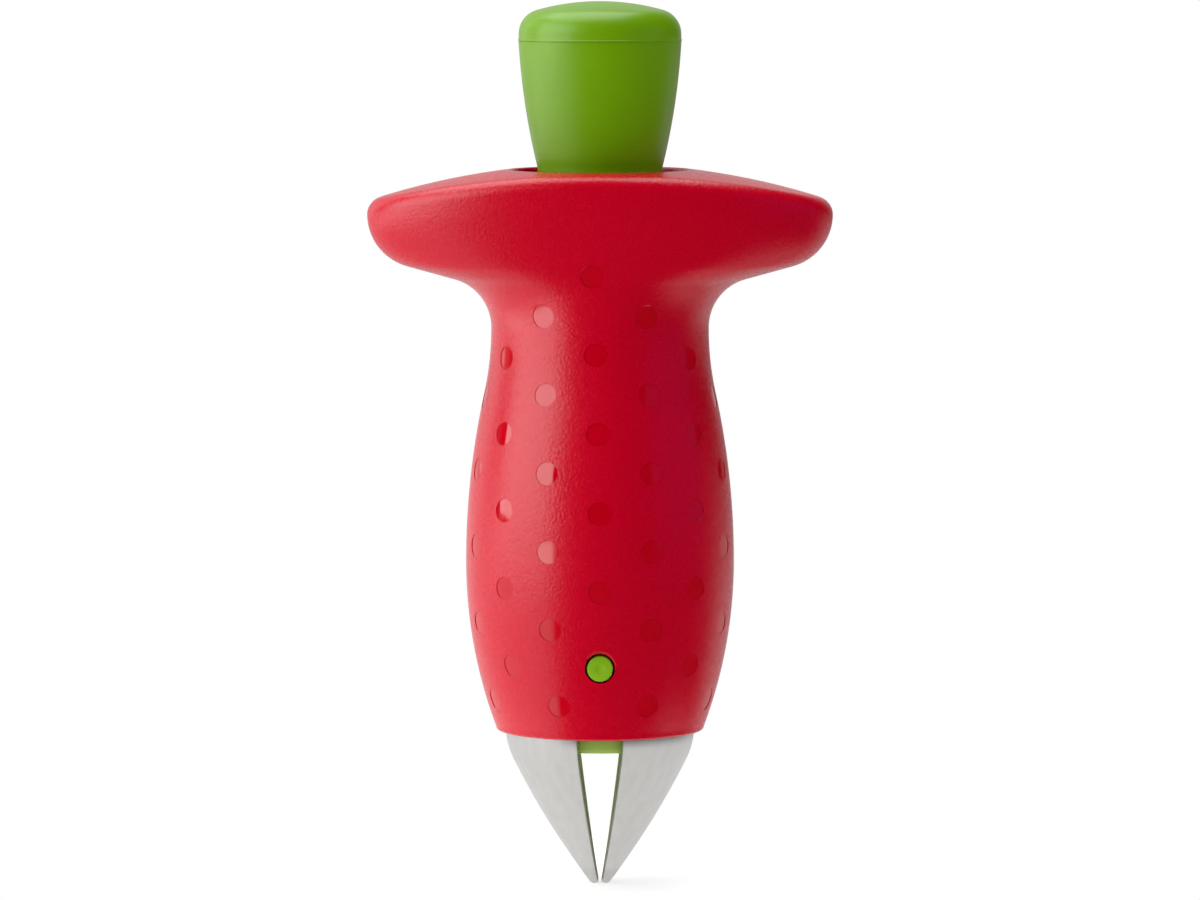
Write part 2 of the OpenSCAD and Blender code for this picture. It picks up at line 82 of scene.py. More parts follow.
def select_edges(piece, test):
    """Selects the edges in edit mode whose two ends, in mm, pass the test."""
    bpy.ops.mesh.select_mode(type="EDGE")
    bpy.ops.mesh.select_all(action="DESELECT")
    mesh = bmesh.from_edit_mesh(piece.data)
    count = 0
    for edge in mesh.edges:
        if test(edge.verts[0].co/MM, edge.verts[1].co/MM):
            edge.select_set(True)
            count += 1
    bmesh.update_edit_mesh(piece.data)
    return count


def use_modifier(piece, kind, **settings):
    """Adds a modifier with its settings and applies it at once."""
    activate(piece)
    modifier = piece.modifiers.new(kind.title(), kind)
    for key, value in settings.items():
        setattr(modifier, key, value)
    bpy.ops.object.modifier_apply(modifier=modifier.name)


def add_object(name, data, place):
    piece = bpy.data.objects.new(name, data)
    bpy.context.collection.objects.link(piece)
    piece.location = place
    return piece


def remove_piece(piece):
    bpy.data.objects.remove(piece, do_unlink=True)


def smooth(piece, degrees):
    """Shades a piece smooth, apart from edges that are sharper than an angle."""
    activate(piece)
    bpy.ops.object.shade_smooth_by_angle(angle=math.radians(degrees))


def report(piece):
    corners = [v.co/MM for v in piece.data.vertices]
    size = [max(c[i] for c in corners) - min(c[i] for c in corners) for i in range(3)]
    print(piece.name, len(piece.data.polygons), "faces, size in mm", [round(s, 2) for s in size])


def copy_piece(piece, name, matrix):
    """A copy with its own mesh, moved or turned by a matrix and left at the origin."""
    activate(piece)
    bpy.ops.object.duplicate(linked=False)
    copy = name_new(name)
    copy.matrix_world = matrix @ copy.matrix_world
    bpy.ops.object.transform_apply(location=True, rotation=True, scale=True)
    return copy


# %% Outline helpers
WELD_GAP = 0.0005


def arc(start, end, radius, steps):
    """Points of the arc that bulges to the right of the way, or to the left if radius is negative."""
    a, b = Vector(start), Vector(end)
    way = b - a
    rise = math.sqrt(max(0.0, radius*radius - way.length_squared/4))
    side = Vector((-way.y, way.x)).normalized()
    centre = (a + b)/2 + math.copysign(rise, radius)*side
    first = math.atan2(a.y - centre.y, a.x - centre.x)
    last = math.atan2(b.y - centre.y, b.x - centre.x)
    sweep = (last - first + 3*math.pi) % (2*math.pi) - math.pi
    turns = [first + sweep*i/steps for i in range(steps + 1)]
    return [(centre.x + abs(radius)*math.cos(t), centre.y + abs(radius)*math.sin(t)) for t in turns]


def straight(start, end, steps):
    """Points of a straight line in even steps, without its start."""
    a, b = Vector(start), Vector(end)
    return [tuple(a.lerp(b, i/steps)) for i in range(1, steps + 1)]


def draw_chain(name, points):
    """Extrudes one vertex along 3D points in mm and stays in edit mode."""
    clear_selection()
    bpy.ops.mesh.primitive_plane_add(size=MM)
    piece = name_new(name)
    bpy.ops.object.mode_set(mode="EDIT")
    bpy.ops.mesh.select_mode(type="VERT")
    bpy.ops.mesh.select_all(action="SELECT")
    bpy.ops.mesh.merge(type="CENTER")
    bpy.ops.transform.translate(value=Vector(points[0])*MM)
    for here, there in zip(points, points[1:]):
        step = (Vector(there) - Vector(here))*MM
        bpy.ops.mesh.extrude_region_move(TRANSFORM_OT_translate={"value": step})
    return piece


def lathe(name, outline, steps, sweep=360.0):
    """Spins an outline of (radius, height) points round the Z axis."""
    piece = draw_chain(name, [(r, 0, z) for r, z in outline])
    bpy.ops.mesh.select_all(action="SELECT")
    bpy.ops.mesh.spin(steps=steps, angle=math.radians(sweep), center=(0, 0, 0), axis=(0, 0, 1))
    bpy.ops.mesh.select_all(action="SELECT")
    bpy.ops.mesh.remove_doubles(threshold=WELD_GAP*MM)
    bpy.ops.mesh.normals_make_consistent(inside=False)
    bpy.ops.object.mode_set(mode="OBJECT")
    return piece


def plate(name, outline, thickness):
    """Fills a closed outline of (x, z) points and extrudes it along Y, the middle on Y = 0."""
    piece = draw_chain(name, [(x, -thickness/2, z) for x, z in outline])
    bpy.ops.mesh.select_all(action="SELECT")
    bpy.ops.mesh.edge_face_add()
    bpy.ops.mesh.extrude_region_move(TRANSFORM_OT_translate={"value": (0, thickness*MM, 0)})
    bpy.ops.mesh.select_all(action="SELECT")
    bpy.ops.mesh.normals_make_consistent(inside=False)
    bpy.ops.object.mode_set(mode="OBJECT")
    return piece


# %% [markdown]
# ## The handle
# The handle is one hollow moulding: a barrel grip that narrows to a neck, then spreads into two finger
# wings under a crowned top with a round hole. It could be sculpted or carved from a block, but each
# level cut through it is an oval, so a stack of ovals follows it exactly. One circle is extruded and
# resized ring by ring: up the outside, over the top, down the hole and back to the lip.

# %% Heights and outlines of the handle
RIM_Z = 19.5
BASE_Z = 20.1
LIP_END = (13.5, 20.55)
LIP_ROUND = 0.45
BORE_R = 13.0
BORE_EDGE = 0.05
HOLE_R = 11.4
HOLE_LIP = 0.45
SEAT_Z = 46.043
BELLY = (17.35, 42.0)
BOW_MEET = (14.988, 63.689)
NECK = (14.05, 72.3)
GRIP_BOW = 61.678
UPPER_BOW = 100.755
NECK_BOW = 40.0
WING_HALF = 30.05
WING_DEPTH = 15.05
WING_LEAN = 0.15
WING_TOP = 86.9
WING_FILLET = 6.5
WING_FILLET_END = (18.839, 78.571)
WING_END_START = (24.966, 80.243)
WING_END_R = 6.9
CROWN_R = 96.0
CROWN_Z = -2.571

grip = arc((BORE_R + BORE_EDGE, BASE_Z), LIP_END, LIP_ROUND, 8)
grip += arc(LIP_END, BELLY, GRIP_BOW, 26)[1:]
grip += arc(BELLY, BOW_MEET, UPPER_BOW, 24)[1:]
grip += arc(BOW_MEET, NECK, -NECK_BOW, 10)[1:]
wing = arc(NECK, WING_FILLET_END, -WING_FILLET, 16)[1:]
wing += straight(WING_FILLET_END, WING_END_START, 6)
wing += arc(WING_END_START, (WING_HALF, WING_TOP), WING_END_R, 18)[1:]


def wing_half_depth(z):
    """Half the depth of the wings at a height, which grows a little towards their top."""
    share = min(1.0, max(0.0, (z - NECK[1])/(WING_TOP - NECK[1])))
    return NECK[0] + (1 - WING_LEAN)*(WING_DEPTH - NECK[0])*share*share


def crown_height(radius):
    """Height of the dome at a distance from the axis."""
    return CROWN_Z + math.sqrt(CROWN_R*CROWN_R - radius*radius)


print(len(grip), "levels in the grip and", len(wing), "in the wings")


# %% Stack the rings
ABOVE = 96.0
BROW_BAND = 2.0
TOP_STEPS = 8
LIP_STEPS = 6
rings = [(r, r, z) for r, z in grip]
rings += [(x, wing_half_depth(z), z) for x, z in wing]
rings += [(WING_HALF, WING_DEPTH, ABOVE)]
inset = (WING_HALF - BROW_BAND, WING_DEPTH - BROW_BAND)
lip_r = HOLE_R + HOLE_LIP
for i in range(TOP_STEPS + 1):
    f = i/TOP_STEPS
    rings.append((inset[0] + (lip_r - inset[0])*f, inset[1] + (lip_r - inset[1])*f, ABOVE))
lip_z = crown_height(lip_r)
for i in range(1, LIP_STEPS + 1):
    turn = math.radians(90*i/LIP_STEPS)
    r = lip_r - HOLE_LIP*math.sin(turn)
    rings.append((r, r, lip_z - HOLE_LIP*(1 - math.cos(turn))))
rings += [(HOLE_R, HOLE_R, z) for z in (90.0, 80.0, 60.0, SEAT_Z)]
rings += [(BORE_R, BORE_R, z) for z in (SEAT_Z, 34.0, BASE_Z + 0.1)]
rings += [(BORE_R + BORE_EDGE, BORE_R + BORE_EDGE, BASE_Z)]


def ring_stack(name, rings, sides):
    """Extrudes a circle through ovals of (half width, half depth, height), back to where it began."""
    a, b, z = rings[0]
    clear_selection()
    bpy.ops.mesh.primitive_circle_add(vertices=sides, radius=MM)
    piece = name_new(name)
    bpy.ops.object.mode_set(mode="EDIT")
    bpy.ops.mesh.select_all(action="SELECT")
    bpy.ops.transform.resize(value=(a, b, 1), center_override=(0, 0, 0))
    bpy.ops.transform.translate(value=(0, 0, z*MM))
    for wide, deep, high in rings[1:]:
        bpy.ops.mesh.extrude_region_move(TRANSFORM_OT_translate={"value": (0, 0, (high - z)*MM)})
        bpy.ops.transform.resize(value=(wide/a, deep/b, 1), center_override=(0, 0, high*MM))
        a, b, z = wide, deep, high
    bpy.ops.mesh.select_all(action="SELECT")
    bpy.ops.mesh.remove_doubles(threshold=WELD_GAP*MM)
    bpy.ops.mesh.normals_make_consistent(inside=False)
    bpy.ops.object.mode_set(mode="OBJECT")
    return piece


handle = ring_stack("handle_skin", rings, 160)
report(handle)

# %% [markdown]
# The top of the handle is a shallow dome. The rings that cross it were stacked flat above it, so a
# Shrinkwrap modifier now drops them straight down on a dome made on the lathe. Then the edge between
# the dome and the side is rounded with a bevel.

# %% Drop the top on its dome and round its edge
BROW_ROUND = 1.62
BROW_LOW = WING_TOP + 0.6
OVAL_SLACK = 0.004
DOME_R = 33.0
dome_line = arc((DOME_R, crown_height(DOME_R)), (0.0, CROWN_Z + CROWN_R), CROWN_R, 90)
dome = lathe("crown_dome", dome_line, steps=256)
group = handle.vertex_groups.new(name="crown")
group.add([v.index for v in handle.data.vertices if v.co.z > (ABOVE - 0.5)*MM], 1.0, "REPLACE")
use_modifier(handle, "SHRINKWRAP", target=dome, wrap_method="PROJECT", use_project_z=True,
             use_positive_direction=False, use_negative_direction=True, vertex_group="crown")
remove_piece(dome)


def on_brow(p):
    off_oval = abs((p.x/WING_HALF)**2 + (p.y/WING_DEPTH)**2 - 1)
    return p.z > BROW_LOW and off_oval < OVAL_SLACK


activate(handle)
bpy.ops.object.mode_set(mode="EDIT")
count = select_edges(handle, lambda p, q: on_brow(p) and on_brow(q))
bpy.ops.mesh.bevel(offset=BROW_ROUND*MM, segments=7, profile=0.5, affect="EDGES")
bpy.ops.object.mode_set(mode="OBJECT")
print("rounded", count, "edges of the brow")
report(handle)

# %% [markdown]
# ## The dots and the pin hole
# Rows of shallow round dots give the fingers hold. They were left smooth in the mould, while the skin
# round them has a fine grain. One cutter is spun on the lathe with a soft corner, copied to each place
# square to the skin, and a Shrinkwrap modifier brings the floor of each to an even depth under the
# skin. All copies are cut out at once by a Boolean, which also passes the cutter's own material on to
# the faces it leaves. The hole for the green pin is cut with them.

# %% Materials of the handle, filled in later
skin_finish = bpy.data.materials.new("grained_red_plastic")
dot_shaded_finish = bpy.data.materials.new("smooth_red_plastic_painted_shade")
handle.data.materials.append(skin_finish)


def set_finish(piece, finish):
    piece.data.materials.clear()
    piece.data.materials.append(finish)


# %% One dot cutter
DOT_R = 1.55
DOT_DEPTH = 0.08
DOT_FLARE = 0.08
CUT_FLOOR = -0.4
CUT_TOP = 0.3
dot_profile = [(r, CUT_FLOOR) for r in (0, 0.3, 0.6, 0.9, 1.2, 1.4, DOT_R - DOT_FLARE)]
dot_profile += [(DOT_R + DOT_FLARE, CUT_TOP), (0, CUT_TOP)]
cutter = lathe("dot_cutter", dot_profile, steps=40)
set_finish(cutter, dot_shaded_finish)
dot_floor = cutter.vertex_groups.new(name="dot_floor")
dot_floor.add([v.index for v in cutter.data.vertices if v.co.z < 0.9*CUT_FLOOR*MM], 1.0, "REPLACE")
report(cutter)

# %% Places of the dots
COLUMN_ANGLE = 22.5
NECK_SPREAD = 5.5
SIDE_SAG = 1.8
UPPER_TURN = 2.6
LOWER_TURN = 3.0
FIRST_ROW = 5.1
ROW_PITCH = 5.0
ROWS = 12
PIN_Z = 29.7
PIN_ROOM = 4.9


def grip_radius(z):
    """Distance of the skin's front from the axis at a height."""
    if z < BELLY[1]:
        return BELLY[0] - GRIP_BOW + math.sqrt(GRIP_BOW**2 - (BELLY[1] - z)**2)
    if z < BOW_MEET[1]:
        return BELLY[0] - UPPER_BOW + math.sqrt(UPPER_BOW**2 - (z - BELLY[1])**2)
    if z < NECK[1]:
        return NECK[0] + NECK_BOW - math.sqrt(NECK_BOW**2 - (NECK[1] - z)**2)
    return wing_half_depth(z)


def skin_tilt(z):
    """Lean of the skin at a height in radians, positive where it looks up."""
    if z < BELLY[1]:
        return -math.asin((BELLY[1] - z)/GRIP_BOW)
    if z < BOW_MEET[1]:
        return math.asin((z - BELLY[1])/UPPER_BOW)
    return math.asin((NECK[1] - z)/NECK_BOW) if z < NECK[1] else 0.0


def dot_place(z, column):
    """Height and angle of a dot.

    Towards the neck the columns spread, sag at the sides and turn one way, and towards the rim they
    turn the other way.
    """
    rise = max(0.0, (z - BELLY[1])/(NECK[1] - BELLY[1]))
    fall = max(0.0, (BELLY[1] - z)/(BELLY[1] - RIM_Z))
    share = (BELLY[0] - grip_radius(z))/(BELLY[0] - NECK[0]) if z > BELLY[1] else 0.0
    angle = column*(COLUMN_ANGLE + NECK_SPREAD*share)
    sag = SIDE_SAG*share*(1 - math.cos(math.radians(angle)))
    return z - sag, angle - UPPER_TURN*rise*rise + LOWER_TURN*fall*fall


def columns(row, z):
    """Columns of one row, which are fewer on the wings and beside the pin."""
    if row % 2 == 0:
        return (-3, -1, 1, 3) if z < NECK[1] else (-1, 1)
    if abs(z - PIN_Z) < PIN_ROOM:
        return (-2, 2)
    return (-2, 0, 2) if z < NECK[1] else (0,)


def on_skin(z, angle):
    """Matrix from a cutter's own frame, its Z outwards, to a place on the skin."""
    turn = Matrix.Rotation(math.radians(angle - 90), 4, "Z")
    move = Matrix.Translation((grip_radius(z)*MM, 0, z*MM))
    tip = Matrix.Rotation(math.pi/2 - skin_tilt(z), 4, "Y")
    return turn @ move @ tip


# %% Copy the dot cutter to every place
cutters = []
for half in (0, 180):
    for row in range(ROWS):
        z = RIM_Z + FIRST_ROW + ROW_PITCH*row
        for column in columns(row, z):
            dot_z, angle = dot_place(z, column)
            cutters.append(copy_piece(cutter, "dot_cut", on_skin(dot_z, half + angle)))
print(len(cutters), "dots")


def join_pieces(pieces):
    clear_selection()
    for piece in pieces:
        piece.select_set(True)
    bpy.context.view_layer.objects.active = pieces[0]
    bpy.ops.object.join()
    return pieces[0]


dots = join_pieces(cutters)
use_modifier(dots, "SHRINKWRAP", target=handle, wrap_method="NEAREST_SURFACEPOINT",
             wrap_mode="ABOVE_SURFACE", offset=-DOT_DEPTH*MM, vertex_group="dot_floor")

# %% Pin hole cutters and the cut
PIN_HOLE_R = 1.9
PIN_HOLE_DEPTH = 6.0
MOUTH_START = (PIN_HOLE_R, -0.3)
MOUTH_END = (2.08, -0.02)
MOUTH_ROUND = 0.35
PIN_CUT_TOP = (2.4, 0.5)
pin_profile = [(0, -PIN_HOLE_DEPTH), (PIN_HOLE_R, -PIN_HOLE_DEPTH)]
pin_profile += arc(MOUTH_START, MOUTH_END, -MOUTH_ROUND, 4)
pin_profile += [PIN_CUT_TOP, (0, PIN_CUT_TOP[1])]
pin_cutter = lathe("pin_hole_cutter", pin_profile, steps=64)
set_finish(pin_cutter, skin_finish)
cutters = [dots]
for half in (0, 180):
    face = Matrix.Rotation(math.radians(half - 90), 4, "Z")
    face = face @ Matrix.Translation((grip_radius(PIN_Z)*MM, 0, PIN_Z*MM))
    cutters.append(copy_piece(pin_cutter, "pin_hole_cut", face @ Matrix.Rotation(math.pi/2, 4, "Y")))
all_cuts = join_pieces(cutters)
use_modifier(handle, "BOOLEAN", operation="DIFFERENCE", object=all_cuts, solver="EXACT",
             material_mode="TRANSFER")
for piece in (all_cuts, cutter, pin_cutter):
    remove_piece(piece)
smooth(handle, 25)
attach(handle, "handle")
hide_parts("handle_shell")
report(handle)

# %% [markdown]
# ## The push button
# The button is a turned form: a crowned cap, a fine parting line where two halves of the mould met, a
# flank that narrows downwards, a waist and a guide flange that stays under the hole. Inside are the
# socket of the rod and a ring pocket for the spring. So one outline spun on the lathe makes it all.

# %% Spin the button
SOCKET_Z = 104.55
SOCKET_R = 4.02
POCKET_IN = 4.978
POCKET_OUT = 6.95
FLANGE_Z = 84.55
FLANGE_TOP = 87.55
FLANGE_R = 11.1
FLANGE_EDGE = 0.3
WAIST_R = 8.05
WAIST_FILLET = 1.5
FLANK_START = (WAIST_R, 92.895)
FLANK_END = (10.5, 109.2)
FLANK_BOW = 90.0
CAP_SIDE = (10.48, 110.137)
CAP_BREAK = (8.172, 113.216)
CAP_ROUND = 3.2
CAP_TOP = 114.35
CAP_DOME = 30.0
BEAD_FOOT = [(-0.03, 0.02), (-0.02, 0.05), (0.06, 0.09)]
BEAD_CREST = [(0.08, 0.16), (0.06, 0.24), (0, 0.3), (-0.02, 0.38)]

edge_r = FLANGE_R - FLANGE_EDGE
waist_z = FLANGE_TOP + WAIST_FILLET
button_line = [(0, SOCKET_Z), (SOCKET_R, SOCKET_Z), (SOCKET_R, FLANGE_Z), (POCKET_IN, FLANGE_Z)]
button_line += [(POCKET_IN, SOCKET_Z), (POCKET_OUT, SOCKET_Z), (POCKET_OUT, FLANGE_Z)]
button_line += arc((edge_r, FLANGE_Z), (FLANGE_R, FLANGE_Z + FLANGE_EDGE), FLANGE_EDGE, 3)
button_line += arc((FLANGE_R, FLANGE_TOP - FLANGE_EDGE), (edge_r, FLANGE_TOP), FLANGE_EDGE, 3)
button_line += arc((WAIST_R + WAIST_FILLET, FLANGE_TOP), (WAIST_R, waist_z), -WAIST_FILLET, 5)
button_line += arc(FLANK_START, FLANK_END, FLANK_BOW, 30)
button_line += [(FLANK_END[0] + out, FLANK_END[1] + up) for out, up in BEAD_FOOT + BEAD_CREST]
button_line += arc(CAP_SIDE, CAP_BREAK, CAP_ROUND, 12)
button_line += arc(CAP_BREAK, (0, CAP_TOP), CAP_DOME, 12)[1:]
button = lathe("button_skin", button_line, steps=160)
green_finish = bpy.data.materials.new("satin_green_plastic")
set_finish(button, green_finish)
smooth(button, 30)
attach(button, "plunger")
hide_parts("button")
report(button)

# %% [markdown]
# ## The blades
# Each blade is a strip of thin steel, bowed from the rim to the tip and rolled round the tool's axis,
# with a rounded tip. Part of a lathe turn gives the curved sheet, Solidify gives it thickness towards
# the inside, and a Boolean with a plate of the tip's outline rounds the end. One blade is made, and
# the other three are turned copies.

# %% Spin, thicken and round one blade
BLADE_SPAN = 62.0
BLADE_TIP = (1.25, 0)
BLADE_BOW = 110.0
SHOULDER = (11.5, 16.5)
SHOULDER_BOW = 9.983
BLADE_TOP = (12.55, 20.35)
BLADE_MIDDLE = (11.0, 0, 14.0)
blade_line = arc(BLADE_TIP, SHOULDER, BLADE_BOW, 40) + arc(SHOULDER, BLADE_TOP, SHOULDER_BOW, 14)[1:]
blade = lathe("claw_blade_one", blade_line, steps=28, sweep=BLADE_SPAN)
steel_finish = bpy.data.materials.new("satin_blade_steel")
set_finish(blade, steel_finish)
turn_back = Matrix.Rotation(math.radians(BLADE_SPAN/2), 4, "Z")
blade.data.transform(turn_back)
middle = min(blade.data.polygons, key=lambda f: (f.center - Vector(BLADE_MIDDLE)*MM).length)
print("outer face looks", [round(v, 2) for v in middle.normal])

# %% Work the blade's edges
BLADE_THICK = 0.6
EDGE_BREAK = 0.07
TIP_ROUND = 0.8
PLATE_HALF = 14.0
PLATE_TOP = 24.0
outwards = 1 if middle.normal.x > 0 else -1
use_modifier(blade, "SOLIDIFY", thickness=BLADE_THICK*MM, offset=-outwards, use_even_offset=True)
tip = arc((-TIP_ROUND, TIP_ROUND), (0, 0), TIP_ROUND, 8)
tip += arc((0, 0), (TIP_ROUND, TIP_ROUND), TIP_ROUND, 8)[1:]
tip_outline = [(-PLATE_HALF, TIP_ROUND)] + tip + [(PLATE_HALF, TIP_ROUND), (PLATE_HALF, PLATE_TOP)]
tip_plate = plate("tip_plate", tip_outline + [(-PLATE_HALF, PLATE_TOP)], PLATE_HALF)
tip_plate.data.transform(Matrix.Translation((0, -PLATE_HALF/2*MM, 0)))
tip_plate.data.transform(Matrix.Rotation(math.pi/2, 4, "Z"))
set_finish(tip_plate, steel_finish)
use_modifier(blade, "BOOLEAN", operation="INTERSECT", object=tip_plate, solver="EXACT")
remove_piece(tip_plate)
use_modifier(blade, "BEVEL", width=EDGE_BREAK*MM, segments=2, limit_method="ANGLE",
             angle_limit=math.radians(50))
smooth(blade, 35)
report(blade)

# %% Copy the blade to its four places
CLAW_ANGLES = (-45, 45, 135, 225)
for number, angle in enumerate(CLAW_ANGLES, 1):
    copy = copy_piece(blade, "blade_skin_%d" % number, Matrix.Rotation(math.radians(angle), 4, "Z"))
    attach(copy, "claw_%d" % number)
    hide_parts("claw_blade_%d" % number)
    report(copy)
remove_piece(blade)

# %% [markdown]
# ## The retaining pins
# A green pin through each side of the grip holds the carrier of the claw. Its end lies a little below
# the skin, with a soft edge and the small dimple that an ejector leaves.

# %% Spin one pin and place two
PIN_R = 1.65
PIN_TAIL = 10.05
PIN_CHAMFER = 0.15
PIN_EDGE = 0.2
PIN_SINK = 0.12
pin_rim = grip_radius(PIN_Z) - PIN_SINK
dimple = [(0.75, 0.04), (0.6, 0.02), (0.45, -0.04), (0, -0.06)]
pin_line = [(0, PIN_TAIL), (PIN_R - PIN_CHAMFER, PIN_TAIL), (PIN_R, PIN_TAIL + PIN_CHAMFER)]
pin_line += arc((PIN_R, pin_rim - PIN_EDGE), (PIN_R - PIN_EDGE, pin_rim), PIN_EDGE, 4)
pin_line += [(r, pin_rim + up) for r, up in dimple]
pin = lathe("pin_one", pin_line, steps=64)
pin_finish = bpy.data.materials.new("light_green_plastic")
set_finish(pin, pin_finish)
smooth(pin, 40)
for side, half in (("front", 0), ("rear", 180)):
    face = Matrix.Rotation(math.radians(half - 90), 4, "Z") @ Matrix.Translation((0, 0, PIN_Z*MM))
    copy = copy_piece(pin, "pin_skin_" + side, face @ Matrix.Rotation(math.pi/2, 4, "Y"))
    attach(copy, "handle")
    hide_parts("retaining_pin_" + side)
    report(copy)
remove_piece(pin)

# %% [markdown]
# ## The carrier and the guide cap
# The carrier is the green core in the grip that the claw's levers turn in. Its boss shows between the
# blades. It is spun on the lathe, and four slots for the levers are cut out with plates.

# %% Spin the carrier and cut its slots
CARRIER_R = 12.9
CARRIER_LOW = 21.66
CARRIER_TOP = 43.143
CORE_R = 9.75
CORE_Z = 22.1
BOSS_R = 11.05
BOSS_Z = 18.15
BOSS_ROUND = 0.6
SLOT_IN = 6.108
SLOT_OUT = 20.0
SLOT_LOW = 17.0
SLOT_TOP = 32.25
SLOT_WIDTH = 2.8
carrier_line = [(0, CORE_Z), (CORE_R, CORE_Z), (CORE_R, CARRIER_TOP), (CARRIER_R, CARRIER_TOP)]
carrier_line += [(CARRIER_R, CARRIER_LOW), (BOSS_R, CARRIER_LOW)]
carrier_line += arc((BOSS_R, BOSS_Z + BOSS_ROUND), (BOSS_R - BOSS_ROUND, BOSS_Z), -BOSS_ROUND, 6)
carrier_line += [(0, BOSS_Z)]
carrier = lathe("carrier_skin", carrier_line, steps=128)
boss_hazed_finish = bpy.data.materials.new("green_plastic_painted_haze")
set_finish(carrier, boss_hazed_finish)
slot_outline = [(SLOT_IN, SLOT_LOW), (SLOT_OUT, SLOT_LOW), (SLOT_OUT, SLOT_TOP), (SLOT_IN, SLOT_TOP)]
slot_plate = plate("slot_plate", slot_outline, SLOT_WIDTH)
set_finish(slot_plate, boss_hazed_finish)
for angle in CLAW_ANGLES:
    cut = copy_piece(slot_plate, "slot_cut", Matrix.Rotation(math.radians(angle), 4, "Z"))
    use_modifier(carrier, "BOOLEAN", operation="DIFFERENCE", object=cut, solver="EXACT")
    remove_piece(cut)
remove_piece(slot_plate)
smooth(carrier, 30)
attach(carrier, "handle")
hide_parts("claw_carrier")
report(carrier)

# %% Spin the guide cap
GUIDE_R = 4.06
GUIDE_EDGE_R = 12.7
COLLAR_R = 4.978
COLLAR_EDGE_R = 4.8
COLLAR_TOP = 48.043
EDGE_DROP = 0.193
cap_line = [(GUIDE_R, CARRIER_TOP), (CARRIER_R, CARRIER_TOP), (CARRIER_R, SEAT_Z - EDGE_DROP)]
cap_line += [(GUIDE_EDGE_R, SEAT_Z), (COLLAR_R, SEAT_Z), (COLLAR_R, COLLAR_TOP - EDGE_DROP)]
cap_line += [(COLLAR_EDGE_R, COLLAR_TOP), (GUIDE_R, COLLAR_TOP), (GUIDE_R, CARRIER_TOP)]
cap = lathe("guide_cap_skin", cap_line, steps=96)
set_finish(cap, boss_hazed_finish)
smooth(cap, 30)
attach(cap, "handle")
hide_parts("guide_cap")
report(cap)

# %% [markdown]
# ## The return spring
# The spring is drawn wire, wound with a close curl at each end. A helix can't be drawn by hand with a
# few clicks, so its points come from a formula and a round bevel turns the curve into wire. The wire
# becomes a mesh.

# %% Wind the spring
COIL_R = 6.2
WIRE_R = 0.45
CURLS = 13
END_GAP = 0.02
END_PITCH = 1.4
PER_CURL = 40
coil_low = SEAT_Z + WIRE_R + END_GAP
coil_high = SOCKET_Z - WIRE_R - END_GAP
even_pitch = (coil_high - coil_low - 2*END_PITCH)/(CURLS - 2)


def coil_height(t):
    """Height of the wire after t turns."""
    even = even_pitch*max(0.0, min(t - 1, CURLS - 2))
    return coil_low + END_PITCH*min(t, 1.0) + even + END_PITCH*max(0.0, t - CURLS + 1)


clear_selection()
curve = bpy.data.curves.new("spring_wire", "CURVE")
curve.dimensions = "3D"
curve.bevel_depth = WIRE_R*MM
curve.bevel_resolution = 3
curve.use_fill_caps = True
line = curve.splines.new("POLY")
line.points.add(CURLS*PER_CURL)
for i, point in enumerate(line.points):
    t = i/PER_CURL
    turn = 2*math.pi*t
    point.co = (COIL_R*MM*math.cos(turn), COIL_R*MM*math.sin(turn), coil_height(t)*MM, 1)
activate(add_object("spring_skin", curve, (0, 0, 0)))
bpy.ops.object.convert(target="MESH")
spring = name_new("spring_skin")
spring_finish = bpy.data.materials.new("drawn_spring_wire")
set_finish(spring, spring_finish)
smooth(spring, 60)
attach(spring, "handle")
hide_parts("return_spring")
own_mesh(spring)
report(spring)

# %% [markdown]
# ## Finishes
# Every finish is built from nodes on Object coordinates, so that its grain keeps its size on each
# piece. A noise scale counts grains in a metre, so 3000 makes grains of a third of a millimetre. The
# red skin has a fine sandy grain from the mould and its dots are smooth, with a little darker red
# painted in the dots as shade. The green plastics are satin, a little lighter on the pins, and paler
# and whiter on the boss, where painted haze stands in for light from the floor and the blades. The
# blades are satin steel with a faint grain along their length. Pictures could be laid on instead, but
# noise has no seams and no edge.

# %% Helpers for finishes
def start_finish(finish, **values):
    """Sets values of the shader, and gives the node tree, the shader and the Object coordinates."""
    finish.use_nodes = True
    tree = finish.node_tree
    shader = tree.nodes["Principled BSDF"]
    for name, value in values.items():
        shader.inputs[name.replace("_", " ")].default_value = value
    place = tree.nodes.new("ShaderNodeTexCoord")
    return tree, shader, place.outputs["Object"]


def noise(tree, place, scale, detail=2.0, stretch=(1, 1, 1)):
    """A noise value, whose grains are longer along an axis where stretch is under 1."""
    mapping = tree.nodes.new("ShaderNodeMapping")
    mapping.inputs["Scale"].default_value = stretch
    tree.links.new(place, mapping.inputs["Vector"])
    texture = tree.nodes.new("ShaderNodeTexNoise")
    texture.inputs["Scale"].default_value = scale
    texture.inputs["Detail"].default_value = detail
    tree.links.new(mapping.outputs["Vector"], texture.inputs["Vector"])
    return texture.outputs["Fac"]


def spread(tree, value, low, high):
    """Maps a noise value to the range from low to high."""
    ramp = tree.nodes.new("ShaderNodeMapRange")
    ramp.inputs["From Min"].default_value = 0.3
    ramp.inputs["From Max"].default_value = 0.7
    ramp.inputs["To Min"].default_value = low
    ramp.inputs["To Max"].default_value = high
    tree.links.new(value, ramp.inputs["Value"])
    return ramp.outputs["Result"]


def tint(tree, shader, value, dark, light):
    """Gives the shader a colour between two, by a noise value."""
    mix = tree.nodes.new("ShaderNodeMix")
    mix.data_type = "RGBA"
    mix.inputs["A"].default_value = (*dark, 1)
    mix.inputs["B"].default_value = (*light, 1)
    tree.links.new(spread(tree, value, 0.0, 1.0), mix.inputs["Factor"])
    tree.links.new(mix.outputs["Result"], shader.inputs["Base Color"])


def roughen(tree, shader, value, low, high):
    """Gives the shader a roughness between two, by a noise value."""
    tree.links.new(spread(tree, value, low, high), shader.inputs["Roughness"])


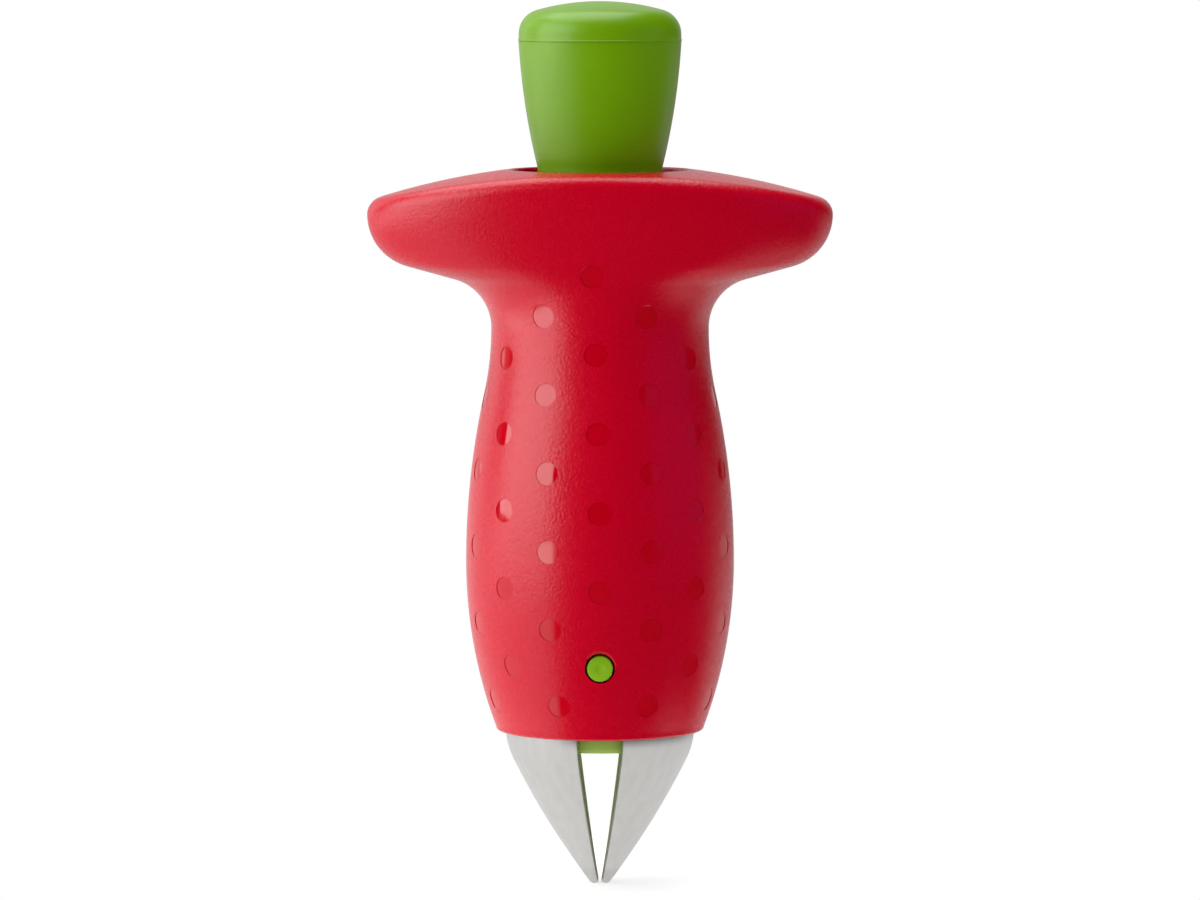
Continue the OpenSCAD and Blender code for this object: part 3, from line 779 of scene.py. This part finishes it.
def bump(tree, shader, value, height, strength):
    """Raises the grain by a noise value, up to a height in metres."""
    node = tree.nodes.new("ShaderNodeBump")
    node.inputs["Distance"].default_value = height
    node.inputs["Strength"].default_value = strength
    tree.links.new(value, node.inputs["Height"])
    tree.links.new(node.outputs["Normal"], shader.inputs["Normal"])


# %% Red plastics
tree, shader, place = start_finish(skin_finish, Specular_IOR_Level=0.56)
grain = noise(tree, place, 3000.0, 3.0)
tint(tree, shader, grain, (0.525, 0.0, 0.0135), (0.555, 0.0, 0.0165))
roughen(tree, shader, noise(tree, place, 900.0), 0.24, 0.29)
bump(tree, shader, grain, 0.0001, 0.6)
# The dots' red is a little darker and deeper than the skin's: painted shade for the darker look of the
# smooth dots.
tree, shader, place = start_finish(dot_shaded_finish, Specular_IOR_Level=0.75)
wave = noise(tree, place, 220.0)
tint(tree, shader, wave, (0.505, 0.0, 0.008), (0.53, 0.0, 0.0105))
roughen(tree, shader, wave, 0.05, 0.09)
print("red plastics done")

# %% Green plastics of the button, the pins and the boss
greens = [(green_finish, (0.145, 0.325, 0.001), (0.155, 0.345, 0.002)),
          (pin_finish, (0.21, 0.43, 0.01), (0.25, 0.48, 0.02)),
          # The boss's paler, whiter green is painted haze for light reflected onto it from the floor
          # and the blades.
          (boss_hazed_finish, (0.27, 0.4, 0.06), (0.3, 0.43, 0.08))]
for finish, dark, light in greens:
    tree, shader, place = start_finish(finish, Specular_IOR_Level=0.5)
    cloud = noise(tree, place, 120.0)
    tint(tree, shader, cloud, dark, light)
    roughen(tree, shader, noise(tree, place, 1200.0), 0.31, 0.36)
    bump(tree, shader, noise(tree, place, 1500.0), 0.00001, 0.3)
print("green plastics done")

# %% Steel of the blades and the spring
tree, shader, place = start_finish(steel_finish, Metallic=0.85)
grain = noise(tree, place, 900.0, 3.0, (1, 1, 0.12))
tint(tree, shader, grain, (0.63, 0.618, 0.597), (0.69, 0.676, 0.654))
roughen(tree, shader, grain, 0.36, 0.42)
bump(tree, shader, grain, 0.00001, 0.25)
tree, shader, place = start_finish(spring_finish, Metallic=1.0)
drawn = noise(tree, place, 1500.0)
tint(tree, shader, drawn, (0.52, 0.52, 0.53), (0.64, 0.64, 0.65))
roughen(tree, shader, drawn, 0.22, 0.34)
print("blade and spring steel done")

# %% Finishes of the mechanism inside
mechanism_finish = bpy.data.materials.new("stamped_lever_steel")
tree, shader, place = start_finish(mechanism_finish, Metallic=1.0)
stamped = noise(tree, place, 700.0, 3.0)
tint(tree, shader, stamped, (0.48, 0.48, 0.49), (0.58, 0.58, 0.59))
roughen(tree, shader, stamped, 0.32, 0.45)
bump(tree, shader, stamped, 0.00001, 0.3)
natural_finish = bpy.data.materials.new("natural_rod_plastic")
tree, shader, place = start_finish(natural_finish, Specular_IOR_Level=0.45)
cloud = noise(tree, place, 300.0)
tint(tree, shader, cloud, (0.74, 0.73, 0.67), (0.80, 0.79, 0.74))
roughen(tree, shader, cloud, 0.35, 0.45)
for number in range(1, 5):
    for name in ("claw_lever_%d", "pivot_pin_%d", "follower_pin_%d"):
        set_finish(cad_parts[name % number], mechanism_finish)
set_finish(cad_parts["plunger_rod"], natural_finish)
print("mechanism done")

# %% [markdown]
# ## Floor, light and camera
# The tool stands on its tips on a white table. A large soft lamp from the left front gives the haze
# on the left of the grip, a strip behind it lights the left edge, and a soft lamp above lights the
# button and the brow. A faint blue card cools the right edge, and a bounce and a wide dome fill in
# the rest. A plain white floor would do, but a glossy handle mirrors it all over. So the floor is white
# to the camera only. To light and reflections it is pale close to the tool, behind it and on the left,
# and painted dark elsewhere, as painted shade. How far a reflected ray came and how steep it fell give
# the height it left the tool at. By this the floor carries painted reflections: the steel claw mirrors
# a glowing bright floor, the grip a darker one, and the neck and the wings a glowing patch each,
# painted in place of the softbox's reflection and of a haze under the right wing.

# %% Floor
clear_selection()
bpy.ops.mesh.primitive_circle_add(vertices=96, radius=3.0, fill_type="NGON")
floor = name_new("floor")
floor_finish = bpy.data.materials.new("white_table")
set_finish(floor, floor_finish)
floor_finish.use_nodes = True
tree = floor_finish.node_tree
tree.nodes.clear()


def add_node(kind, **inputs):
    """Adds a node to the tree in hand, which is the floor's here and the world's later."""
    node = tree.nodes.new("ShaderNode" + kind)
    for key, value in inputs.items():
        node.inputs[key.replace("_", " ")].default_value = value
    return node


def fade_by(value, near, far, low=0.0, high=1.0):
    """Goes smoothly from low to high as a value goes from near to far."""
    node = add_node("MapRange", From_Min=near, From_Max=far, To_Min=low, To_Max=high)
    node.interpolation_type = "SMOOTHSTEP"
    tree.links.new(value, node.inputs["Value"])
    return node.outputs["Result"]


def mix_shaders(share, first, second):
    """Goes from the first shader to the second as the share goes from 0 to 1."""
    node = tree.nodes.new("ShaderNodeMixShader")
    tree.links.new(share, node.inputs["Fac"])
    tree.links.new(first, node.inputs[1])
    tree.links.new(second, node.inputs[2])
    return node.outputs["Shader"]


def multiply(first, second):
    node = add_node("Math")
    node.operation = "MULTIPLY"
    tree.links.new(first, node.inputs[0])
    tree.links.new(second, node.inputs[1])
    return node.outputs["Value"]


def vector_math(operation, value, second=(0.0, 0.0, 0.0)):
    """A node for one operation on a vector, such as its length or a dot product with a second one."""
    node = add_node("VectorMath")
    node.operation = operation
    node.inputs[1].default_value = second
    tree.links.new(value, node.inputs[0])
    return node


def matt(grey):
    return add_node("BsdfDiffuse", Color=(grey, grey, grey, 1)).outputs["BSDF"]


def glowing(grey, glow):
    """A matt grey surface that also shines by itself."""
    both = add_node("AddShader")
    tree.links.new(matt(grey), both.inputs[0])
    tree.links.new(add_node("Emission", Strength=glow).outputs["Emission"], both.inputs[1])
    return both.outputs["Shader"]


# %% Where a spot lies, and the height that a ray comes from
path = add_node("LightPath")
slope = add_node("SeparateXYZ")
tree.links.new(add_node("NewGeometry").outputs["Incoming"], slope.inputs["Vector"])
height = multiply(path.outputs["Ray Length"], slope.outputs["Z"])
spot = add_node("TexCoord").outputs["Object"]
away = vector_math("LENGTH", spot).outputs["Value"]
way = vector_math("NORMALIZE", spot).outputs["Vector"]


def towards(x, y):
    """How well the way from the tool to a spot points along (x, y), from -1 to 1."""
    return vector_math("DOT_PRODUCT", way, (x, y, 0.0)).outputs["Value"]


# %% A glowing patch painted on the floor on the left, a painted reflection of the key softbox
NECK_LEVELS = (0.068, 0.073)
WING_LEVELS = (0.0765, 0.08)
CLAW_LEVELS = (0.0186, 0.0206)
LEFT = (-1.0, 0.0)
KEY_SIDE = (-0.94, -0.34)
NECK_STRETCH = 1.8
WING_SHRINK = 0.556
WING_DIMMING = 0.75
PATCH_EDGE = (0.32, 0.5)
PATCH_GLOW = 2.1
LEAST_GLOW = 0.85
at_neck = fade_by(height, *NECK_LEVELS, 1.0, NECK_STRETCH)
at_wings = fade_by(height, *WING_LEVELS, 1.0, WING_SHRINK)
lamp_away = multiply(away, multiply(at_neck, at_wings))
lamp_way = add_node("Mix")
tree.links.new(fade_by(height, *WING_LEVELS), lamp_way.inputs[0])
tree.links.new(fade_by(towards(*KEY_SIDE), 0.6, 0.9), lamp_way.inputs[2])
tree.links.new(fade_by(towards(*LEFT), 0.78, 0.99), lamp_way.inputs[3])
glow = add_node("Math")
glow.operation = "MULTIPLY_ADD"
glow.inputs[2].default_value = LEAST_GLOW
tree.links.new(fade_by(lamp_away, *PATCH_EDGE, 0.0, PATCH_GLOW), glow.inputs[0])
tree.links.new(lamp_way.outputs[0], glow.inputs[1])
# A glowing patch on the floor, strongest for rays from the neck and the wings: a painted reflection of
# the key softbox.
painted_lamp_reflection = add_node("Emission")
dimmer = fade_by(height, *WING_LEVELS, 1.0, WING_DIMMING)
tree.links.new(multiply(glow.outputs["Value"], dimmer), painted_lamp_reflection.inputs["Strength"])
print("lamp patch done")

# %% The floor as reflections, light and camera see it
FRONT = (0.0, -1.0)
BRIGHT_SIDE = (-0.6, 0.8)
RIGHT_WING = (0.98, -0.2)
white = add_node("Emission", Strength=1.0).outputs["Emission"]
# A near black floor, painted dark in front and on the right: painted shade for reflections and for
# bounced light.
dark = matt(0.02)
table = matt(0.86)
reach = multiply(away, fade_by(towards(*FRONT), 0.3, 0.8, 1.0, 2.1))
far_off = fade_by(reach, 0.028, 0.056)
bright_side = fade_by(towards(*BRIGHT_SIDE), -0.29, -0.17)
left_side = fade_by(towards(*LEFT), -0.2, 0.3)
# On the right the floor glows in a patch for rays from the wings: a painted reflection, the soft haze
# under the right wing.
on_right = multiply(fade_by(towards(*RIGHT_WING), 0.8, 0.97), fade_by(away, 0.13, 0.18, 1.0, 0.0))
painted_wing_haze = multiply(on_right, fade_by(height, *NECK_LEVELS))
front = mix_shaders(painted_wing_haze, dark, glowing(0.2, 0.45))
back = mix_shaders(left_side, glowing(0.45, 0.0), painted_lamp_reflection.outputs["Emission"])
# Close to the tool the floor glows a little in the handle's reflections: a painted reflection.
for_handle = mix_shaders(far_off, glowing(0.82, 0.12), mix_shaders(bright_side, front, back))
# Close under the claw the floor glows evenly for reflections: a painted reflection that keeps the steel
# blades bright.
claw_painted_glow = glowing(0.1, 0.72)
mirrored = mix_shaders(fade_by(height, *CLAW_LEVELS), claw_painted_glow, for_handle)
lighting = mix_shaders(far_off, table, mix_shaders(bright_side, dark, table))
lit = mix_shaders(path.outputs["Is Glossy Ray"], lighting, mirrored)
seen = mix_shaders(fade_by(away, 0.025, 0.06), glowing(0.46, 0.66), white)
surface = mix_shaders(path.outputs["Is Camera Ray"], lit, seen)
tree.links.new(surface, add_node("OutputMaterial").inputs["Surface"])
floor_finish.cycles.emission_sampling = "NONE"
print("floor done, with", len(tree.nodes), "nodes")

# %% World
REAR = (-0.3, 0.954, 0.0)
world = bpy.data.worlds.new("studio")
bpy.context.scene.world = world
world.use_nodes = True
world.cycles.sampling_method = "NONE"
tree = world.node_tree
tree.nodes.clear()
facing = vector_math("DOT_PRODUCT", add_node("TexCoord").outputs["Generated"], REAR).outputs["Value"]
room = add_node("Background", Color=(1, 1, 1, 1))
tree.links.new(fade_by(facing, 0.5, 0.88, 0.004, 0.6), room.inputs["Strength"])
backdrop = add_node("Background", Color=(1, 1, 1, 1), Strength=1.0)
seen = mix_shaders(add_node("LightPath").outputs["Is Camera Ray"], room.outputs["Background"],
                   backdrop.outputs["Background"])
tree.links.new(seen, add_node("OutputWorld").inputs["Surface"])
print("world done, with", len(tree.nodes), "nodes")

# %% Lamps
TOOL_MIDDLE = (0, 0, 0.06)
BOUNCE_SPOT = (0.22, -0.38)


def shine_along(lamp, way):
    lamp.rotation_euler = Vector(way).to_track_quat("-Z", "Y").to_euler()


def soft_lamp(name, place, aim, width, height, power):
    light = bpy.data.lights.new(name, "AREA")
    light.shape = "RECTANGLE"
    light.size = width
    light.size_y = height
    light.energy = power
    lamp = add_object(name, light, place)
    shine_along(lamp, Vector(aim) - Vector(place))
    return lamp


soft_lamp("key_softbox", (-0.945, -0.325, 0.47), TOOL_MIDDLE, width=1.17, height=0.9, power=10.1)
soft_lamp("rear_strip", (-0.77, 0.64, 0.43), TOOL_MIDDLE, width=0.4, height=0.8, power=0.6)
soft_lamp("top_softbox", (-0.25, 0.25, 1.1), (-0.25, 0.2, 0.1), width=1.2, height=1.1, power=12.5)
cool_card = soft_lamp("cool_card", (0.93, -0.25, 0.2), TOOL_MIDDLE, width=1.0, height=0.7, power=0.42)
cool_card.data.color = (0.12, 0.2, 1.0)
bounce = soft_lamp("table_bounce", (*BOUNCE_SPOT, 0.002), (*BOUNCE_SPOT, 1.0),
                   width=0.9, height=0.8, power=1.8)
bounce.data.cycles.use_multiple_importance_sampling = False
bounce.visible_glossy = False
bounce.visible_camera = False
sky = bpy.data.lights.new("fill_dome", "SUN")
sky.energy = 1.9
sky.angle = math.radians(160)
sky.cycles.use_multiple_importance_sampling = False
fill = add_object("fill_dome", sky, (0.9, -1.7, 0.6))
shine_along(fill, (-0.8, 0.6, -0.1))
fill.visible_glossy = False
print(len(bpy.data.lights), "lamps")

# %% Camera
CAMERA_PLACE = (0, -0.850, 0.125)
CAMERA_DIP = 4.615
lens = bpy.data.cameras.new("photo_camera")
lens.lens = 197.7
lens.sensor_width = 36.0
lens.clip_start = 0.05
camera = add_object("photo_camera", lens, CAMERA_PLACE)
camera.rotation_euler = (math.radians(90 - CAMERA_DIP), 0, 0)
bpy.context.scene.camera = camera
bpy.context.scene.view_settings.view_transform = "Standard"
print("camera", round(camera.location.length, 3), "m away")
